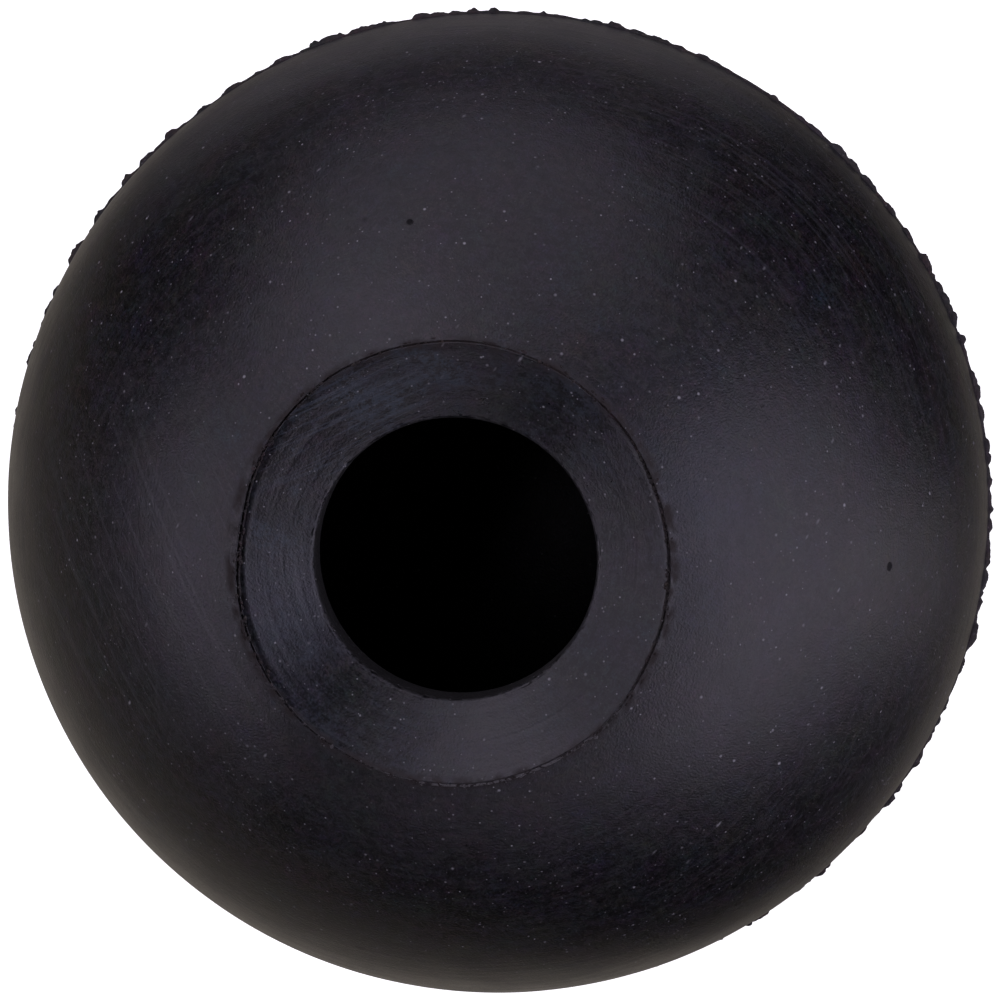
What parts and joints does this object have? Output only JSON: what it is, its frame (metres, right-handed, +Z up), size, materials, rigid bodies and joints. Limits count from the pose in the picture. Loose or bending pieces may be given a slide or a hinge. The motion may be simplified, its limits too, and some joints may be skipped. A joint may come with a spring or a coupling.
{
  "type": "case opening friction ball",
  "caption": "Hollow black rubber ball with a round mouth in a dished ring, pressed on a screw watch case back and turned to open it by friction.",
  "frame": {"origin": "lowest point of the ball, on the axis of the mouth, with the mouth facing up as the ball comes to rest", "axes": "+Z runs up the axis of the mouth; the ball is round about Z, so X and Y are free"},
  "size_m": [0.0658, 0.0657, 0.0619],
  "materials": {
    "shell_rubber": "buffed satin black rubber with fine scratches and pale dust",
    "ring_rubber": "satin blue-black rubber with turning marks round the mouth",
    "bond_rubber": "matt black rubber, ragged where it was squeezed out"
  },
  "bodies": {
    "ball": {"rear_shell": "shell_rubber", "front_shell": "shell_rubber", "seam_bond": "bond_rubber"},
    "mouth": {"mouth_ring": "ring_rubber"}
  },
  "joints": [
    {"name": "mouth_press", "type": "slide", "parent": "ball", "child": "mouth", "axis": [0, 0, -1], "range_m": [0, 0.005], "stiffness_N_per_m": 10000}
  ]
}
